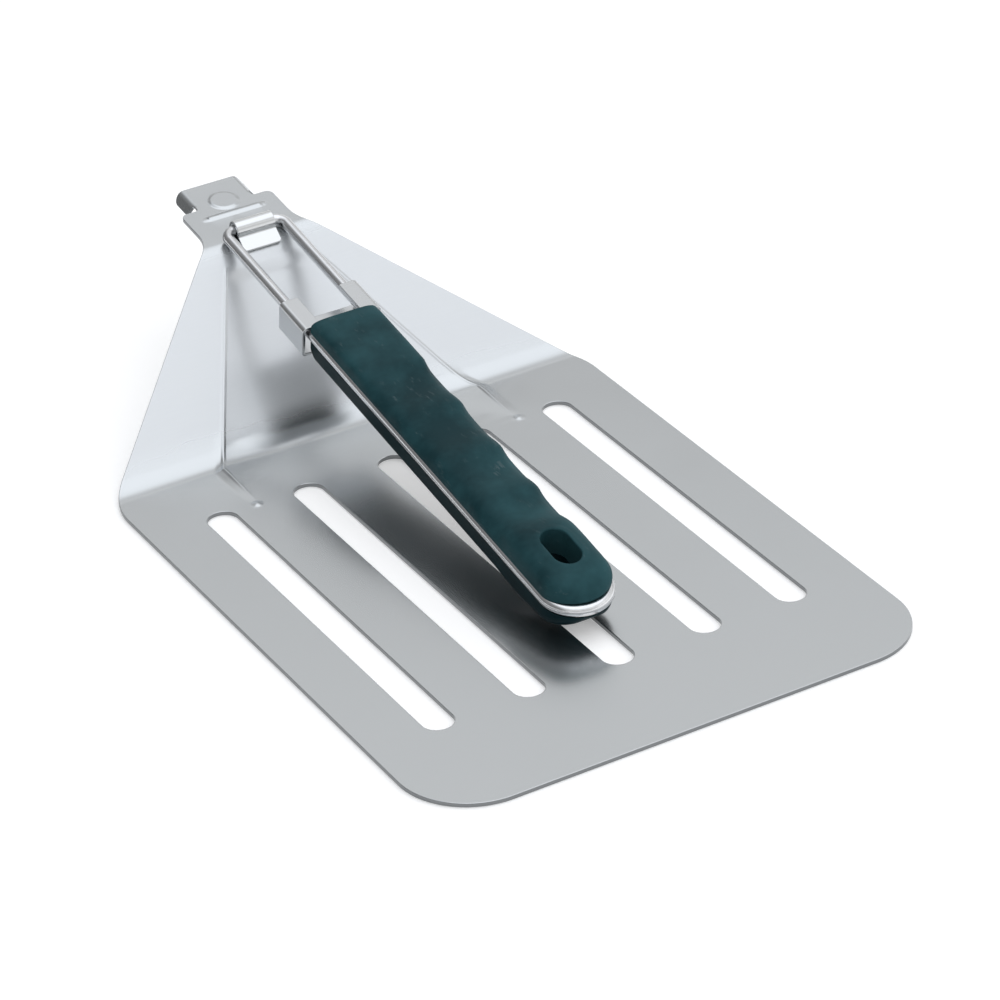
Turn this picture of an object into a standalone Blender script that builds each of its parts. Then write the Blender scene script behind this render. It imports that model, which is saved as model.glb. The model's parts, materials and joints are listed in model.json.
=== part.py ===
"""Folding pizza peel: a slotted sheet blade with a bent neck and tongue, and a wire handle with a
soft grip that folds over the blade. Metres, +Z up, +Y from the blade's front edge to the tongue.
The origin is the middle of the part's footprint, on the blade's underside."""

import math

import bmesh
import bpy
from mathutils import Matrix, Vector

MM = 0.001

# ---------------------------------------------------------------- driving dimensions, metres
BLADE_WIDTH = 180 * MM
BLADE_LENGTH = 221.5 * MM        # front edge to the apex of the lower bend
NECK_LENGTH = 73.9 * MM          # apex to apex
TONGUE_LENGTH = 37.4 * MM        # apex of the upper bend to the tongue's far edge
NECK_ANGLE = math.radians(39)    # above the blade
TONGUE_ANGLE = math.radians(8)
SHEET = 1.5 * MM                 # blade sheet
LOWER_BEND = 15 * MM             # radii on the top surface
UPPER_BEND = 10 * MM
CORNER_RADIUS = 25 * MM

SLOT_COUNT = 5
SLOT_PITCH = 32 * MM
SLOT_WIDTH = 10.6 * MM
SLOT_FRONT = 41.7 * MM           # front edge to the slots' front ends
SLOT_REAR = 193.5 * MM

WIRE_RADIUS = 2.0 * MM
WIRE_SPREAD = 11.0 * MM          # centre plane to each leg's centreline
WIRE_ELBOW = 4.2 * MM
WIRE_LENGTH = 224.7 * MM         # hinge axis to the loop's centreline
HINGE_AHEAD = 3.5 * MM           # hinge axis behind the upper bend's apex, along the tongue
HINGE_RISE = 2.45 * MM           # hinge axis above the tongue's face
FOLD_SLOPE = math.radians(10.15)  # the folded handle falls this much towards the blade's front

GRIP_START = 63.9 * MM           # hinge axis to the grip's front, along the legs
CLEARANCE = 0.3 * MM

# ---------------------------------------------------------------- derived sheet stations
LOWER_SETBACK = LOWER_BEND * math.tan(NECK_ANGLE / 2)
UPPER_TURN = NECK_ANGLE - TONGUE_ANGLE
UPPER_SETBACK = UPPER_BEND * math.tan(UPPER_TURN / 2)
LOWER_START = BLADE_LENGTH - LOWER_SETBACK
LOWER_END = LOWER_START + LOWER_BEND * NECK_ANGLE
UPPER_START = LOWER_END + NECK_LENGTH - LOWER_SETBACK - UPPER_SETBACK
UPPER_END = UPPER_START + UPPER_BEND * UPPER_TURN
SHEET_END = UPPER_END + TONGUE_LENGTH - UPPER_SETBACK
UPPER_APEX = UPPER_END - UPPER_SETBACK

TOP_LENGTH = (
    BLADE_LENGTH + NECK_LENGTH * math.cos(NECK_ANGLE) + TONGUE_LENGTH * math.cos(TONGUE_ANGLE)
)
HEAD_OVERHANG = 0.268 * MM       # the tilted head's lower edge reaches this far past its top edge
FRONT_Y = -(TOP_LENGTH + HEAD_OVERHANG) / 2      # the front edge, in world Y

# tongue and head, in the flat pattern (x from the centre plane, s from the front edge)
TONGUE_HALF = 17.6 * MM
TAPER_START = 217.4 * MM         # where the taper's line meets the blade's side
TAPER_SLOPE = 0.885              # half-width lost per length of neck
SHOULDER = UPPER_APEX + 23.7 * MM
NOTCH_ROOT = 10.7 * MM
NOTCH_WIDTH = 3.8 * MM
HEAD_FLAT = 9.3 * MM             # half-width of the head before its wings turn down
WING_RADIUS = 3.0 * MM
WING_ANGLE = math.radians(50)
WING_LEG = 2.9 * MM
HEAD_HALF = HEAD_FLAT + WING_RADIUS * WING_ANGLE + WING_LEG

BEAD_AT = UPPER_APEX + 17.1 * MM
BEAD_HALF_WIDTH = 1.8 * MM
BEAD_HEIGHT = 0.6 * MM
BEAD_REACH = 12.8 * MM
BEAD_FULL = 9.6 * MM             # half-length at full height
BEAD_DIP = 0.2 * MM              # height left under the open handle's legs
BOSS_AT = UPPER_APEX + 25.0 * MM
BOSS_RADIUS = 5.6 * MM
BOSS_HEIGHT = 0.5 * MM

RIB_HEIGHT = 0.32 * MM
RIB_HALF_WIDTH = 1.0 * MM
RIB_FOOT_X = 49.3 * MM           # half-spacing of the ribs at the lower bend
RIB_SLOPE = 0.472                # how fast the ribs close in along the neck
RIB_FRONT = 193.0 * MM           # the ribs fade out here, on the blade
RIB_REAR = UPPER_START - 4 * MM
GUSSET_HEIGHT = 1.1 * MM         # a shallow facet on each rib's inner side, where the sheet bends
GUSSET_WIDTH = 18 * MM
GUSSET_FULL = RIB_FRONT + 19 * MM
GUSSET_END = LOWER_END + 6 * MM

# strap
STRAP_SHEET = 1.2 * MM
STRAP_HALF = 7.3 * MM
STRAP_FRONT_FOOT = 5.9 * MM
STRAP_REAR_FOOT = 7.0 * MM
STRAP_BEND = WIRE_RADIUS + CLEARANCE + STRAP_SHEET / 2   # mid-surface radius over the wire

# collar, in the handle's own frame: u along the legs from the hinge axis, n away from the blade
COLLAR_SHEET = 1.2 * MM
COLLAR_START = 46.9 * MM
COLLAR_END = GRIP_START - CLEARANCE
COLLAR_HALF = 14.9 * MM
COLLAR_LIP_EDGE = 7.9 * MM
COLLAR_TOP = WIRE_RADIUS + CLEARANCE + COLLAR_SHEET
COLLAR_HEIGHT = 11.65 * MM
COLLAR_CORNER = 1.8 * MM

# grip
PARTING_GAP = 0.15 * MM          # each half stops this far from the wires' plane
LOOP_CENTRE = WIRE_LENGTH - WIRE_SPREAD
GRIP_SIDES = 7                   # facets in a quarter of the section
COVER_TAIL = 10.0 * MM           # the rounded ends, beyond the loop's centre
CORE_TAIL = 12.0 * MM
HOLE_AT = 204.6 * MM
HOLE_LENGTH = 17 * MM
HOLE_WIDTH = 10 * MM
SPINE_HALF = 6.2 * MM
SPINE_ROOF = 3.2 * MM            # cover left above the spine's recess
SPINE_FROM = GRIP_START + 6 * MM
SPINE_TO = HOLE_AT - HOLE_LENGTH / 2 - 5 * MM


# ---------------------------------------------------------------- small tools
def smoothstep(low, high, value):
    """0 at low, 1 at high, with soft ends; low may be the larger of the two."""
    t = min(1.0, max(0.0, (value - low) / (high - low)))
    return t * t * (3 - 2 * t)


def interpolate(table, at):
    """Smooth curve through a few (station, value) pairs."""
    if at <= table[0][0]:
        return table[0][1]
    for (a, value_a), (b, value_b) in zip(table, table[1:]):
        if at <= b:
            return value_a + (value_b - value_a) * smoothstep(a, b, at)
    return table[-1][1]


def cross(a, b):
    return a.x * b.y - a.y * b.x


def material(name, colour, roughness, metallic):
    made = bpy.data.materials.new(name)
    made.use_nodes = True
    shader = made.node_tree.nodes["Principled BSDF"]
    shader.inputs["Base Color"].default_value = (*colour, 1)
    shader.inputs["Roughness"].default_value = roughness
    shader.inputs["Metallic"].default_value = metallic
    return made


def new_object(name, bm, finish, parent=None, smooth_angle=35):
    """Link a mesh as a named object; with a parent, its mesh is in the parent's frame."""
    bmesh.ops.recalc_face_normals(bm, faces=bm.faces)
    mesh = bpy.data.meshes.new(name)
    bm.to_mesh(mesh)
    bm.free()
    mesh.shade_smooth()
    mesh.set_sharp_from_angle(angle=math.radians(smooth_angle))
    made = bpy.data.objects.new(name, mesh)
    bpy.context.collection.objects.link(made)
    if finish:
        mesh.materials.append(finish)
    made.parent = parent
    return made


def helper(obj):
    """Keep a cutter out of the model."""
    obj.hide_render = True
    obj.display_type = "WIRE"
    return obj


def boolean(obj, other, operation):
    modifier = obj.modifiers.new(operation.lower() + "_" + other.name, "BOOLEAN")
    modifier.operation = operation
    modifier.solver = "EXACT"
    modifier.object = other


def rounded(corners):
    """Points of an open outline; each corner is (x, y, radius, steps)."""
    points = []
    last = len(corners) - 1
    for i, (x, y, radius, steps) in enumerate(corners):
        if radius == 0 or i in (0, last):
            points.append((x, y))
            continue
        here = Vector((x, y))
        back = (Vector(corners[i - 1][:2]) - here).normalized()
        ahead = (Vector(corners[i + 1][:2]) - here).normalized()
        half = back.angle(ahead) / 2
        centre = here + (back + ahead).normalized() * radius / math.sin(half)
        start = here + back * radius / math.tan(half) - centre
        end = here + ahead * radius / math.tan(half) - centre
        sweep = start.angle_signed(end)
        for k in range(steps + 1):
            turned = Matrix.Rotation(-sweep * k / steps, 2) @ start
            points.append(tuple(centre + turned))
    return points


# ---------------------------------------------------------------- the blade sheet
def sheet_station(s):
    """World (y, z) and slope of the sheet's top surface at length s from the front edge."""
    if s <= LOWER_START:
        return FRONT_Y + s, SHEET, 0.0
    y, z = FRONT_Y + LOWER_START, SHEET
    turn = min(s - LOWER_START, LOWER_END - LOWER_START) / LOWER_BEND
    y += LOWER_BEND * math.sin(turn)
    z += LOWER_BEND * (1 - math.cos(turn))
    run = min(max(s - LOWER_END, 0), UPPER_START - LOWER_END)
    y += run * math.cos(NECK_ANGLE)
    z += run * math.sin(NECK_ANGLE)
    if s <= UPPER_START:
        return y, z, turn
    back = min(s - UPPER_START, UPPER_END - UPPER_START) / UPPER_BEND
    slope = NECK_ANGLE - back
    y += UPPER_BEND * (math.sin(NECK_ANGLE) - math.sin(slope))
    z += UPPER_BEND * (math.cos(slope) - math.cos(NECK_ANGLE))
    run = max(s - UPPER_END, 0)
    return y + run * math.cos(slope), z + run * math.sin(slope), slope


def bead(x, s):
    across = max(0.0, 1 - abs(s - BEAD_AT) / BEAD_HALF_WIDTH)
    middle = smoothstep(BEAD_FULL + 1 * MM, BEAD_FULL, abs(x))
    ends = smoothstep(BEAD_REACH, BEAD_REACH - 1.4 * MM, abs(x))
    height = BEAD_DIP * ends + (BEAD_HEIGHT - BEAD_DIP) * middle
    return height * math.sin(math.pi / 2 * across) ** 2


def boss(x, s):
    away = math.hypot(x, s - BOSS_AT)
    return BOSS_HEIGHT * smoothstep(BOSS_RADIUS, BOSS_RADIUS - 1.1 * MM, away)


def rib_x(s):
    """Half-spacing of the two pressed ribs: parallel on the blade, closing in along the neck."""
    return RIB_FOOT_X - RIB_SLOPE * max(0.0, s - LOWER_START)


def rib(x, s):
    slope = RIB_SLOPE if s > LOWER_START else 0.0
    away = abs(abs(x) - rib_x(s)) / math.hypot(1, slope)
    ends = smoothstep(RIB_FRONT, RIB_FRONT + 20 * MM, s)
    ends *= smoothstep(RIB_REAR, RIB_REAR - 4 * MM, s)
    return RIB_HEIGHT * ends * max(0.0, 1 - away / RIB_HALF_WIDTH)


def ramp(low, high, value):
    """0 at low, 1 at high, straight in between."""
    return min(1.0, max(0.0, (value - low) / (high - low)))


def gusset(x, s):
    """A triangular facet that leans on the rib line and widens from its tip to the bend."""
    grown = ramp(RIB_FRONT, GUSSET_FULL, s)
    high = GUSSET_HEIGHT * grown * ramp(GUSSET_END, LOWER_START, s)
    inward = rib_x(s) - abs(x)
    wide = GUSSET_WIDTH * grown * ramp(GUSSET_END, LOWER_START, s) if inward > 0 else RIB_HALF_WIDTH
    return high * max(0.0, 1 - abs(inward) / max(wide, RIB_HALF_WIDTH))


def sheet_point(x, s, depth):
    """World place of a point of the flat pattern, depth below the top surface."""
    y, z, slope = sheet_station(s)
    lift = bead(x, s) + boss(x, s) + rib(x, s) + gusset(x, s) - depth
    turned = smoothstep(SHOULDER, SHOULDER + NOTCH_WIDTH, s)
    beyond = max(0.0, abs(x) - HEAD_FLAT)
    arc = min(beyond / WING_RADIUS, WING_ANGLE)
    leg = max(0.0, beyond - WING_RADIUS * WING_ANGLE)
    angle = arc * turned
    if turned == 0:
        out, drop = abs(x), 0.0
    else:
        radius = WING_RADIUS / turned
        out = min(abs(x), HEAD_FLAT) + radius * math.sin(angle) + leg * math.cos(angle)
        drop = radius * (1 - math.cos(angle)) + leg * math.sin(angle)
    rise = lift * math.cos(angle) - drop
    side = out + lift * math.sin(angle)
    return (
        math.copysign(side, x),
        y - rise * math.sin(slope),
        z + rise * math.cos(slope),
    )


def blade_outline():
    """The flat pattern's outline, one half mirrored onto the other."""
    half_width = BLADE_WIDTH / 2
    taper_end = TAPER_START + (half_width - TONGUE_HALF) / TAPER_SLOPE
    notch_end = SHOULDER + NOTCH_WIDTH
    half = rounded([
        (0, 0, 0, 0),
        (half_width, 0, CORNER_RADIUS, 12),
        (half_width, TAPER_START, 30 * MM, 8),
        (TONGUE_HALF, taper_end, 16 * MM, 6),
        (TONGUE_HALF, SHOULDER, 2.5 * MM, 4),
        (NOTCH_ROOT, SHOULDER, 1.0 * MM, 3),
        (NOTCH_ROOT, notch_end, 1.0 * MM, 3),
        (HEAD_HALF, notch_end, 1.0 * MM, 2),
        (HEAD_HALF, SHEET_END, 3.2 * MM, 5),
        (0, SHEET_END, 0, 0),
    ])
    return half + [(-x, s) for x, s in reversed(half[1:-1])]


def slot_outline(x):
    """A long slot with full-round ends, centred on x."""
    radius = SLOT_WIDTH / 2
    points = []
    for end, start_angle in ((SLOT_REAR - radius, 0), (SLOT_FRONT + radius, math.pi)):
        for k in range(13):
            angle = start_angle + math.pi * k / 12
            points.append((x + radius * math.cos(angle), end + radius * math.sin(angle)))
    return points


def strap_slot_outline():
    """The slit in the tongue that the strap's rear wall passes through."""
    middle = UPPER_APEX + HINGE_AHEAD + STRAP_BEND
    half = STRAP_SHEET / 2 + CLEARANCE
    reach = STRAP_HALF + CLEARANCE
    return [(-reach, middle - half), (reach, middle - half),
            (reach, middle + half), (-reach, middle + half)]


def ring(bm, points):
    verts = [bm.verts.new((x, s, 0)) for x, s in points]
    return [bm.edges.new((a, b)) for a, b in zip(verts, verts[1:] + verts[:1])]


def cut(bm, point, normal, inside):
    """Split the flat pattern's faces along a line, only where inside(centre) holds."""
    faces = [f for f in bm.faces if inside(f.calc_center_median())]
    edges = {e for f in faces for e in f.edges}
    verts = {v for f in faces for v in f.verts}
    bmesh.ops.bisect_plane(
        bm, geom=faces + list(edges) + list(verts), dist=1e-7,
        plane_co=point, plane_no=normal,
    )


def steps(low, high, count):
    return [low + (high - low) * k / count for k in range(count + 1)]


def flat_pattern():
    """The pattern as a flat mesh, split wherever the sheet bends or is embossed."""
    bm = bmesh.new()
    edges = ring(bm, blade_outline())
    first = -(SLOT_COUNT - 1) / 2
    for i in range(SLOT_COUNT):
        edges += ring(bm, slot_outline((first + i) * SLOT_PITCH))
    edges += ring(bm, strap_slot_outline())
    bmesh.ops.triangle_fill(bm, use_beauty=True, use_dissolve=False, edges=edges)

    across = Vector((0, 1, 0))
    levels = steps(LOWER_START, LOWER_END, 6) + steps(UPPER_START, UPPER_END, 5)
    for s in levels:
        cut(bm, (0, s, 0), across, lambda c: True)
    for side in (-1, 1):
        for offset in (-RIB_HALF_WIDTH, 0, RIB_HALF_WIDTH):
            on_neck = Vector((side * (RIB_FOOT_X + offset * math.hypot(1, RIB_SLOPE)), LOWER_START, 0))
            normal = Vector((side, RIB_SLOPE, 0))
            cut(bm, on_neck, normal, lambda c: c.x * side > 0 and LOWER_START < c.y < UPPER_START)
            on_blade = Vector((side * (RIB_FOOT_X + offset), 0, 0))
            cut(bm, on_blade, Vector((1, 0, 0)),
                lambda c: c.x * side > 0 and SLOT_REAR + 1 * MM < c.y < LOWER_START)
        tip = Vector((side * RIB_FOOT_X, RIB_FRONT, 0))
        far = Vector((side * (RIB_FOOT_X - GUSSET_WIDTH), GUSSET_FULL, 0))
        cut(bm, tip, Vector((far.y - tip.y, tip.x - far.x, 0)),
            lambda c: RIB_FOOT_X - GUSSET_WIDTH < c.x * side < RIB_FOOT_X and c.y < LOWER_START)
        cut(bm, (far.x, 0, 0), Vector((1, 0, 0)),
            lambda c: c.x * side > 0 and GUSSET_FULL < c.y < LOWER_START)
        back = Vector((side * rib_x(GUSSET_END), GUSSET_END, 0))
        cut(bm, back, Vector((LOWER_START - back.y, back.x - far.x, 0)),
            lambda c: 0 < c.x * side < RIB_FOOT_X and LOWER_START < c.y < GUSSET_END)
    for s in (SLOT_REAR + 1 * MM, RIB_FRONT + 10 * MM, RIB_FRONT + 15 * MM, GUSSET_FULL):
        cut(bm, (0, s, 0), across, lambda c: abs(abs(c.x) - RIB_FOOT_X + 5 * MM) < 16 * MM)
    cut(bm, (0, GUSSET_END, 0), across, lambda c: LOWER_END < c.y < UPPER_START)
    for s in (RIB_REAR - 4 * MM, RIB_REAR):
        cut(bm, (0, s, 0), across, lambda c: LOWER_END < c.y < UPPER_START)
    for s in steps(BEAD_AT - BEAD_HALF_WIDTH, BEAD_AT + BEAD_HALF_WIDTH, 4):
        cut(bm, (0, s, 0), across, lambda c: c.y > UPPER_END)
    for s in steps(BOSS_AT - BOSS_RADIUS, BOSS_AT + BOSS_RADIUS, 8):
        cut(bm, (0, s, 0), across, lambda c: c.y > BEAD_AT + BEAD_HALF_WIDTH)
    wing = [HEAD_FLAT + WING_RADIUS * WING_ANGLE * k / 4 for k in range(5)]
    for side in (-1, 1):
        for x in wing:
            cut(bm, (side * x, 0, 0), (1, 0, 0), lambda c: c.x * side > 0 and c.y > SHOULDER)
        for x in (BEAD_REACH, BEAD_REACH - 0.7 * MM, BEAD_REACH - 1.4 * MM,
                  *steps(BEAD_FULL, BEAD_FULL + 1 * MM, 3)):
            cut(bm, (side * x, 0, 0), (1, 0, 0),
                lambda c: c.x * side > 0 and abs(c.y - BEAD_AT) < BEAD_HALF_WIDTH)
    for x in steps(-BOSS_RADIUS, BOSS_RADIUS, 8):
        cut(bm, (x, 0, 0), (1, 0, 0), lambda c: c.y > BEAD_AT + BEAD_HALF_WIDTH)
    bmesh.ops.triangulate(bm, faces=bm.faces)
    return bm


def make_blade(finish):
    flat = flat_pattern()
    bm = bmesh.new()
    top = {}
    under = {}
    for v in flat.verts:
        top[v.index] = bm.verts.new(sheet_point(v.co.x, v.co.y, 0))
        under[v.index] = bm.verts.new(sheet_point(v.co.x, v.co.y, SHEET))
    for face in flat.faces:
        corners = [v.index for v in face.verts]
        bm.faces.new([top[i] for i in corners])
        bm.faces.new([under[i] for i in reversed(corners)])
    for edge in flat.edges:
        if edge.is_boundary:
            a, b = (v.index for v in edge.verts)
            bm.faces.new([top[a], top[b], under[b], under[a]])
    flat.free()
    return new_object("blade", bm, finish)


# ---------------------------------------------------------------- the hinge strap
def hinge_axis():
    """World (y, z) of the hinge axis, above the tongue's face."""
    y, z, slope = sheet_station(UPPER_END + 20 * MM)
    back = UPPER_END + 20 * MM - (UPPER_APEX + HINGE_AHEAD)
    y -= back * math.cos(slope) + HINGE_RISE * math.sin(slope)
    z -= back * math.sin(slope) - HINGE_RISE * math.cos(slope)
    return y, z


def strap_path():
    """The strap's mid-surface in world (y, z), from its rear foot to its front foot."""
    hinge = Vector(hinge_axis())
    along = Vector((math.cos(TONGUE_ANGLE), math.sin(TONGUE_ANGLE)))
    up = Vector((-along.y, along.x))
    below = -(HINGE_RISE + SHEET + CLEARANCE + STRAP_SHEET / 2)
    rear_corner = hinge + along * STRAP_BEND + up * below
    rear_end = rear_corner + along * STRAP_REAR_FOOT

    y, z, _ = sheet_station(UPPER_START)
    neck = Vector((math.cos(NECK_ANGLE), math.sin(NECK_ANGLE)))
    off_neck = Vector((-neck.y, neck.x)) * (CLEARANCE + STRAP_SHEET / 2)
    wall = hinge - along * STRAP_BEND
    reach = cross(Vector((y, z)) + off_neck - wall, neck) / cross(-up, neck)
    front_corner = wall - up * reach
    front_end = front_corner - neck * STRAP_FRONT_FOOT

    over = []
    for k in range(13):
        angle = math.pi * k / 12
        bend = hinge + (along * math.cos(angle) + up * math.sin(angle)) * STRAP_BEND
        over.append((bend.x, bend.y, 0, 0))
    foot_bend = STRAP_SHEET
    corners = [(*rear_end, 0, 0), (*rear_corner, foot_bend, 3), *over,
               (*front_corner, foot_bend, 3), (*front_end, 0, 0)]
    return [Vector(point) for point in rounded(corners)]


def ribbon(path, thickness):
    """A strip's closed outline, from its mid-line."""
    left, right = [], []
    for i, point in enumerate(path):
        back = (point - path[max(i - 1, 0)]).normalized()
        ahead = (path[min(i + 1, len(path) - 1)] - point).normalized()
        if back.length == 0:
            back = ahead
        if ahead.length == 0:
            ahead = back
        middle = (back + ahead).normalized()
        normal = Vector((-middle.y, middle.x))
        reach = thickness / 2 / max(0.3, middle.dot(ahead))
        left.append(point + normal * reach)
        right.append(point - normal * reach)
    return left + right[::-1]


def extrude_outline(points, place, half):
    """A prism: place(point, x) gives a corner's world position at x = -half and half."""
    bm = bmesh.new()
    low = [bm.verts.new(place(p, -half)) for p in points]
    high = [bm.verts.new(place(p, half)) for p in points]
    caps = [bm.faces.new(low[::-1]), bm.faces.new(high)]
    for i in range(len(points)):
        j = (i + 1) % len(points)
        bm.faces.new((low[i], low[j], high[j], high[i]))
    bmesh.ops.triangulate(bm, faces=caps)
    return bm


def make_strap(finish):
    outline = ribbon(strap_path(), STRAP_SHEET)
    bm = extrude_outline(outline, lambda p, x: (x, p[0], p[1]), STRAP_HALF)
    return new_object("hinge_strap", bm, finish)


# ---------------------------------------------------------------- the handle, in its own frame
def make_handle_frame():
    """An empty on the hinge axis: its +X is the axis, +Y runs along the legs, +Z off the blade."""
    y, z = hinge_axis()
    empty = bpy.data.objects.new("handle_axis", None)
    bpy.context.collection.objects.link(empty)
    empty.location = (0, y, z)
    empty.rotation_euler = (-FOLD_SLOPE, 0, math.pi)
    return empty


def wire_path():
    """The bail's centreline: it starts and ends inside the strap, with a small gap between."""
    gap = 0.5 * MM
    half = [(gap, 0)]
    for k in range(9):
        angle = math.pi / 2 * k / 8
        half.append((WIRE_SPREAD - WIRE_ELBOW + WIRE_ELBOW * math.sin(angle),
                     WIRE_ELBOW * (1 - math.cos(angle))))
    for k in range(13):
        angle = math.pi / 2 * k / 12
        half.append((WIRE_SPREAD * math.cos(angle), LOOP_CENTRE + WIRE_SPREAD * math.sin(angle)))
    return half[:-1] + [(0, WIRE_LENGTH)] + [(-x, u) for x, u in reversed(half[:-1])]


def tube(name, path, radius, sides, finish, parent):
    """A round rod along a path in the wires' plane."""
    bm = bmesh.new()
    rings = []
    for i, (x, u) in enumerate(path):
        here = Vector((x, u))
        back = here - Vector(path[max(i - 1, 0)])
        ahead = Vector(path[min(i + 1, len(path) - 1)]) - here
        along = (back.normalized() + ahead.normalized()).normalized()
        across = Vector((along.y, -along.x))
        verts = []
        for k in range(sides):
            angle = 2 * math.pi * (k + 0.5) / sides
            out = here + across * radius * math.cos(angle)
            verts.append(bm.verts.new((out.x, out.y, radius * math.sin(angle))))
        rings.append(verts)
    for a, b in zip(rings, rings[1:]):
        for k in range(sides):
            m = (k + 1) % sides
            bm.faces.new((a[k], a[m], b[m], b[k]))
    bm.faces.new(rings[0])
    bm.faces.new(rings[-1][::-1])
    return new_object(name, bm, finish, parent)


def collar_outline():
    """The collar's section, (x, n): a C with its open side up, as one bent strip."""
    t = COLLAR_SHEET / 2
    top = COLLAR_TOP - t
    low = COLLAR_TOP - COLLAR_HEIGHT + t
    side = COLLAR_HALF - t
    bend = COLLAR_CORNER - t
    path = rounded([
        (-COLLAR_LIP_EDGE, top, 0, 0),
        (-side, top, bend, 3),
        (-side, low, bend, 3),
        (side, low, bend, 3),
        (side, top, bend, 3),
        (COLLAR_LIP_EDGE, top, 0, 0),
    ])
    return ribbon([Vector(p) for p in path], COLLAR_SHEET)


def make_collar(finish, parent):
    middle = (COLLAR_START + COLLAR_END) / 2
    half = (COLLAR_END - COLLAR_START) / 2
    bm = extrude_outline(collar_outline(), lambda p, u: (p[0], u, p[1]), half)
    made = new_object("lock_collar", bm, finish, parent)
    made.location = (0, middle, 0)
    return made


# ---------------------------------------------------------------- the grip
TOP_HEIGHT = [(63.9, 5.0), (70, 7.0), (92, 7.6), (150, 7.8), (176, 8.2), (200, 10.4),
              (209, 10.2), (226, 8.0)]
BOTTOM_DEPTH = [(63.9, 7.6), (67, 9.4), (184, 9.4), (204, 10.9), (212, 10.6), (226, 6.8)]
WAVE_CRESTS = (97.5, 123.0, 148.5, 171.5, 194.5)
HOLLOW_DROP = 1.4 * MM           # the finger hollows are this much lower than the crests
HOLLOW_INSET = 1.5 * MM          # and this much narrower, each side


def wave(u):
    """0 in a finger hollow, 1 on a crest: four hollows between five crests, each steeper after
    its crest than before the next one."""
    at = u / MM
    if at <= WAVE_CRESTS[0] or at >= WAVE_CRESTS[-1]:
        return 1.0
    for a, b in zip(WAVE_CRESTS, WAVE_CRESTS[1:]):
        if at <= b:
            share = ((at - a) / (b - a)) ** 0.8
            return (0.5 + 0.5 * math.cos(2 * math.pi * share)) ** 1.3
    return 1.0


def tail_taper(u, tail):
    """Share of the full width left towards the rounded end; tail is the end's length."""
    past = max(0.0, u - LOOP_CENTRE) / tail
    return math.sqrt(max(0.0, 1 - past**2))


def grip_stations(tail):
    stations = steps(GRIP_START, GRIP_START + 4 * MM, 3)
    stations += steps(GRIP_START + 4 * MM, LOOP_CENTRE, 40)[1:]
    stations += [LOOP_CENTRE + tail * math.sin(math.pi / 2 * k / 9) for k in range(1, 9)]
    return stations + [LOOP_CENTRE + tail * 0.9965]


def cover_height(u):
    """Height of the cover above the wires, lower in the finger hollows."""
    high = interpolate(TOP_HEIGHT, u / MM) * MM - HOLLOW_DROP * (1 - wave(u))
    past = max(0.0, u - LOOP_CENTRE - 1 * MM) / (COVER_TAIL - 1 * MM)
    return high * math.sqrt(max(0.05, 1 - past**3))


def cover_section(u):
    """Half of the cover's section, (x, n): a straight rim by the wires, narrower in the hollows."""
    high = cover_height(u) - PARTING_GAP
    taper = tail_taper(u, COVER_TAIL)
    rim = 12.4 * MM * taper
    width = (12.4 * MM - HOLLOW_INSET * (1 - wave(u))) * taper
    power = 2 / interpolate([(64, 4.6), (97, 4.0), (120, 3.0), (210, 2.8)], u / MM)
    points = []
    for k in range(GRIP_SIDES + 1):
        angle = math.pi / 2 * k / GRIP_SIDES
        x = width * math.cos(angle) ** power if k < GRIP_SIDES else 0
        n = high * math.sin(angle) ** power
        x += (rim - width) * smoothstep(5 * MM, 2 * MM, n)
        points.append((x, PARTING_GAP + n))
    return points


def core_section(u):
    """Half of the lower body's section, (x, n): a plain trough with rounded lower edges."""
    past = max(0.0, u - LOOP_CENTRE) / CORE_TAIL
    deep = interpolate(BOTTOM_DEPTH, u / MM) * MM * math.sqrt(max(0.08, 1 - past**4))
    width = 12.3 * MM * tail_taper(u, CORE_TAIL)
    radius = interpolate([(190, 3.2), (215, 6.0)], u / MM) * MM
    radius = min(radius, 0.45 * width, 0.8 * (deep - PARTING_GAP))
    points = [(width, -PARTING_GAP)]
    for k in range(GRIP_SIDES):
        angle = math.pi / 2 * k / (GRIP_SIDES - 1)
        points.append((width - radius + radius * math.cos(angle),
                       -deep + radius - radius * math.sin(angle)))
    return points


def grip_half(name, section, tail, finish, parent):
    """One half of the grip, lofted along the legs from its half sections."""
    bm = bmesh.new()
    rings = []
    for u in grip_stations(tail):
        half = section(u)
        mirrored = half[:-1] if abs(half[-1][0]) < 1e-9 else half
        points = half + [(-x, n) for x, n in reversed(mirrored)]
        rings.append([bm.verts.new((x, u, n)) for x, n in points])
    for a, b in zip(rings, rings[1:]):
        for k in range(len(a)):
            m = (k + 1) % len(a)
            bm.faces.new((a[k], a[m], b[m], b[k]))
    caps = [bm.faces.new(rings[0]), bm.faces.new(rings[-1][::-1])]
    bmesh.ops.triangulate(bm, faces=caps)
    return new_object(name, bm, finish, parent)


def spine_block(name, half, roof, start, end, parent):
    """The spine on the lower half, or the recess for it in the cover."""
    bm = bmesh.new()
    rings = []
    for u in steps(start, end, 12):
        high = cover_height(u) - roof
        verts = [bm.verts.new((x, u, n)) for x, n in
                 ((-half, -3 * MM), (half, -3 * MM), (half, high), (-half, high))]
        rings.append(verts)
    for a, b in zip(rings, rings[1:]):
        for k in range(4):
            m = (k + 1) % 4
            bm.faces.new((a[k], a[m], b[m], b[k]))
    bm.faces.new(rings[0])
    bm.faces.new(rings[-1][::-1])
    return helper(new_object(name, bm, None, parent))


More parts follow.
